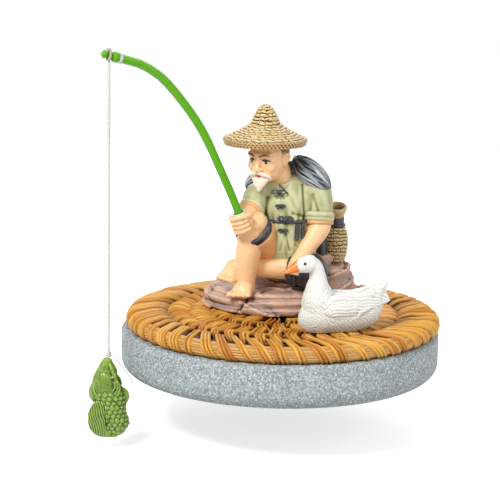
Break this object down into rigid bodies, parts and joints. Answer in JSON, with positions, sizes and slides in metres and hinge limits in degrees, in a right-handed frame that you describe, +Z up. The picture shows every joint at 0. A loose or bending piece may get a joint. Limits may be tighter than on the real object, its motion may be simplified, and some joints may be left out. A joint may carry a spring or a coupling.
{
  "type": "floating fisherman figurine",
  "caption": "Round foam float topped with a rattan mat, carrying a resin fisherman on a rock with a creel and a goose; a bent rod holds a cord with a fish over the float's edge.",
  "frame": {"origin": "centre of the float's flat underside, which the water carries", "axes": "+Z up, -Y towards the front of the ornament, -X towards the side that the rod reaches over"},
  "size_m": [0.1943, 0.18, 0.2127],
  "materials": {
    "foam": "glitter-flecked closed-cell foam",
    "rattan": "satin varnished rattan",
    "painted_resin": "hand-painted cast resin",
    "white_resin": "satin painted cast resin",
    "green_plastic": "semi-gloss",
    "clear_plastic": "clear, slightly milky",
    "cord": "twisted synthetic cord",
    "green_resin": "painted, semi-gloss"
  },
  "bodies": {
    "ornament": {"float_disc": "foam", "wicker_mat": "rattan", "fisherman_casting": "painted_resin", "goose": "white_resin", "fishing_rod": "green_plastic", "rod_tip_ring": "clear_plastic"},
    "hanging_line": {"tip_knot": "cord", "fishing_line": "cord", "line_knot": "cord", "line_tail": "cord", "fish": "green_resin"}
  },
  "joints": [
    {"name": "line_swing", "type": "hinge", "parent": "ornament", "child": "hanging_line", "pos_m": [-0.09363, -0.04991, 0.18114], "axis": [-0.8667, -0.4265, 0.2588], "range_deg": [-25, 25]}
  ]
}
